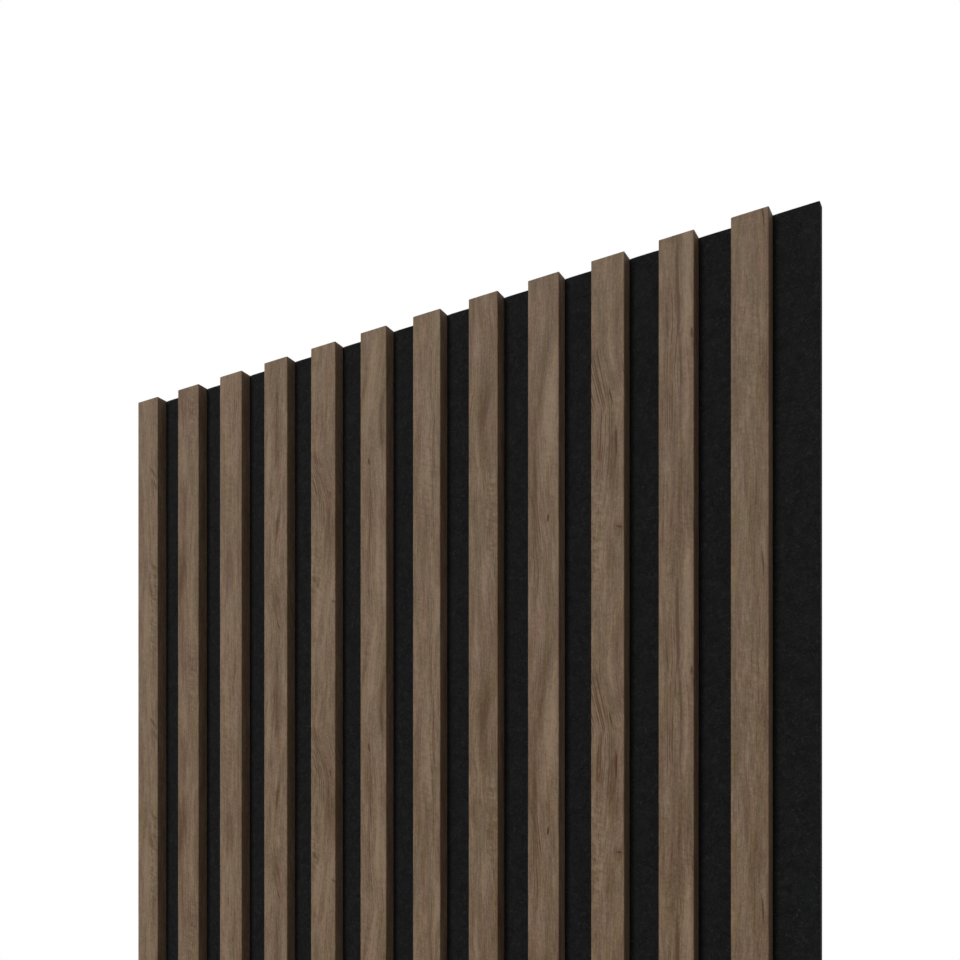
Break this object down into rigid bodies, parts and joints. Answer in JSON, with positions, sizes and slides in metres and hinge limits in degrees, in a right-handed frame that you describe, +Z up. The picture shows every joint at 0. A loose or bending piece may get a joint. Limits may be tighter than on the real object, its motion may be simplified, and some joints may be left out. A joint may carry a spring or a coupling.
{
  "type": "acoustic slat wall panel",
  "caption": "Tall sound-absorbing wall panel of upright wood-decor slats stapled at an even pitch to a dark pressed felt board, whose back is fixed flat to a wall.",
  "frame": {"origin": "middle of the felt board's back face, on the wall plane", "axes": "+X across the slats to the viewer's right, +Y into the wall, +Z up along the slats; the slats face -Y"},
  "size_m": [0.605, 0.0194, 2.4],
  "materials": {
    "decor_wrap": "matt grey-brown oak decor",
    "mdf_core": "sawn fibreboard",
    "felt": "needled polyester felt, black",
    "staple_steel": "zinc plated"
  },
  "bodies": {
    "root": {"felt_backing": "felt", "slat_01_core": "mdf_core", "slat_01_wrap": "decor_wrap", "slat_02_core": "mdf_core", "slat_02_wrap": "decor_wrap", "slat_03_core": "mdf_core", "slat_03_wrap": "decor_wrap", "slat_04_core": "mdf_core", "slat_04_wrap": "decor_wrap", "slat_05_core": "mdf_core", "slat_05_wrap": "decor_wrap", "slat_06_core": "mdf_core", "slat_06_wrap": "decor_wrap", "slat_07_core": "mdf_core", "slat_07_wrap": "decor_wrap", "slat_08_core": "mdf_core", "slat_08_wrap": "decor_wrap", "slat_09_core": "mdf_core", "slat_09_wrap": "decor_wrap", "slat_10_core": "mdf_core", "slat_10_wrap": "decor_wrap", "slat_11_core": "mdf_core", "slat_11_wrap": "decor_wrap", "slat_12_core": "mdf_core", "slat_12_wrap": "decor_wrap", "staples": "staple_steel"}
  },
  "joints": []
}
